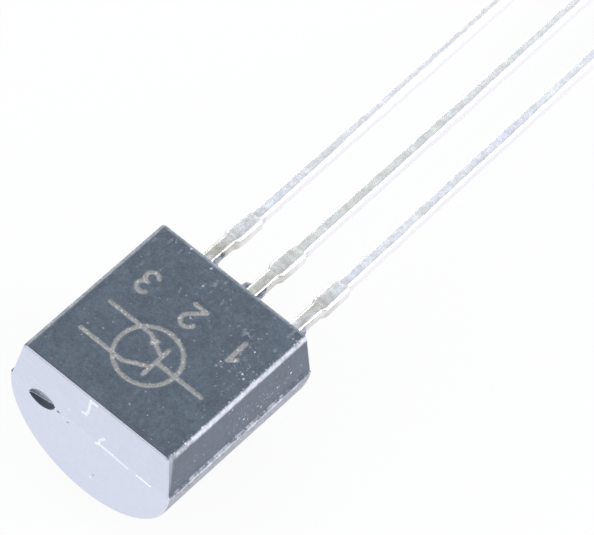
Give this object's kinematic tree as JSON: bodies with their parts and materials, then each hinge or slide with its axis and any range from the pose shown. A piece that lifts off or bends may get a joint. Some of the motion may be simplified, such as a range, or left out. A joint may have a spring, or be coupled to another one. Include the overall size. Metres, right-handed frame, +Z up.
{
  "type": "transistor",
  "caption": "Small signal transistor in a half-round moulded plastic package, with straight tinned leads in a row.",
  "frame": {"origin": "centre of the bounding box, on the surface that the part lies on", "axes": "+X across the leads towards the emitter lead (pin 1), +Y along the leads away from the moulding, +Z up; the flat face looks up and leans 7.7 degrees towards +Y"},
  "size_m": [0.0046, 0.0188, 0.0041],
  "materials": {
    "epoxy": "satin",
    "tinned_lead": "satin",
    "silicon": "gloss",
    "die_attach": "matte",
    "gold_wire": "polished"
  },
  "bodies": {
    "root": {"moulding": "epoxy", "collector_lead": "tinned_lead", "base_lead": "tinned_lead", "emitter_lead": "tinned_lead", "silicon_die": "silicon", "die_attach": "die_attach", "base_bond_wire": "gold_wire", "emitter_bond_wire": "gold_wire"}
  },
  "joints": []
}
